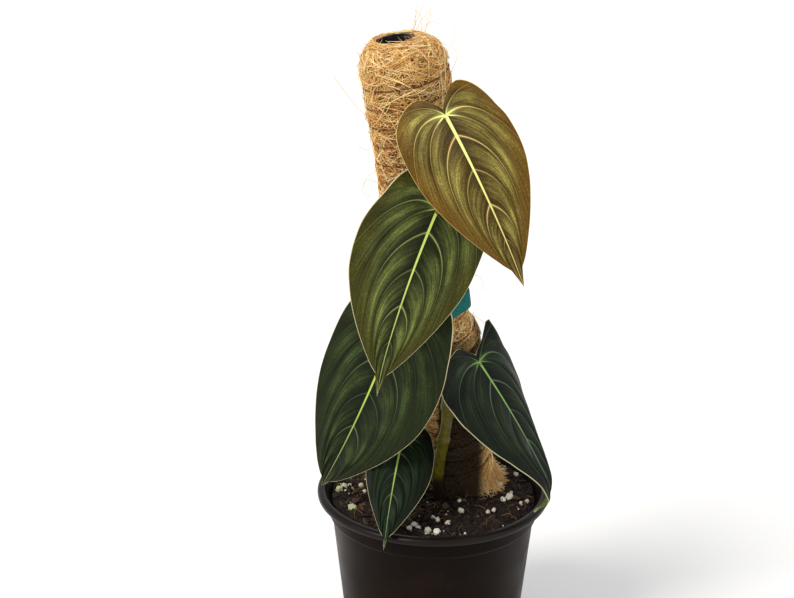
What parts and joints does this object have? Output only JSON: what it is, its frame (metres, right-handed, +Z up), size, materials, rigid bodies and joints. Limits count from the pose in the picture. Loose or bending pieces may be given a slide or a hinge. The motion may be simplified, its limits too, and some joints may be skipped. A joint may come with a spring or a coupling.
{
  "type": "potted climbing philodendron on a coir pole",
  "caption": "Young climbing aroid with velvety heart-shaped leaves, tied to a leaning coir pole in a round black nursery pot of soil.",
  "frame": {"origin": "centre of the pot's flat base", "axes": "+Z up out of the pot, +X to the right, the front of the plant faces -Y"},
  "size_m": [0.16, 0.1908, 0.4532],
  "materials": {
    "pot_plastic": "semi-gloss black polypropylene",
    "potting_mix": "moist peat and bark with white perlite",
    "stem_skin": "waxy olive green skin",
    "tube_plastic": "satin black",
    "coir": "matted golden brown coconut fibre",
    "twine": "thin reddish brown twine",
    "tie_tape": "teal hook-and-loop tape",
    "leaf_bronze": "velvety bronze blade with pale yellow veins",
    "leaf_olive": "velvety olive green blade with lime midrib",
    "leaf_green": "velvety dark green blade with pale margin",
    "leaf_dark": "velvety blackish green blade with grey green veins",
    "leaf_small": "velvety dark green blade with pale margin"
  },
  "bodies": {
    "root": {"pot": "pot_plastic", "soil": "potting_mix", "stem": "stem_skin", "pole_tube": "tube_plastic", "coir_sleeve": "coir", "binding_twine": "twine", "plant_tie": "tie_tape", "leaf_1": "leaf_bronze", "leaf_2": "leaf_olive", "leaf_3": "leaf_green", "leaf_4": "leaf_dark", "leaf_5": "leaf_small"}
  },
  "joints": []
}
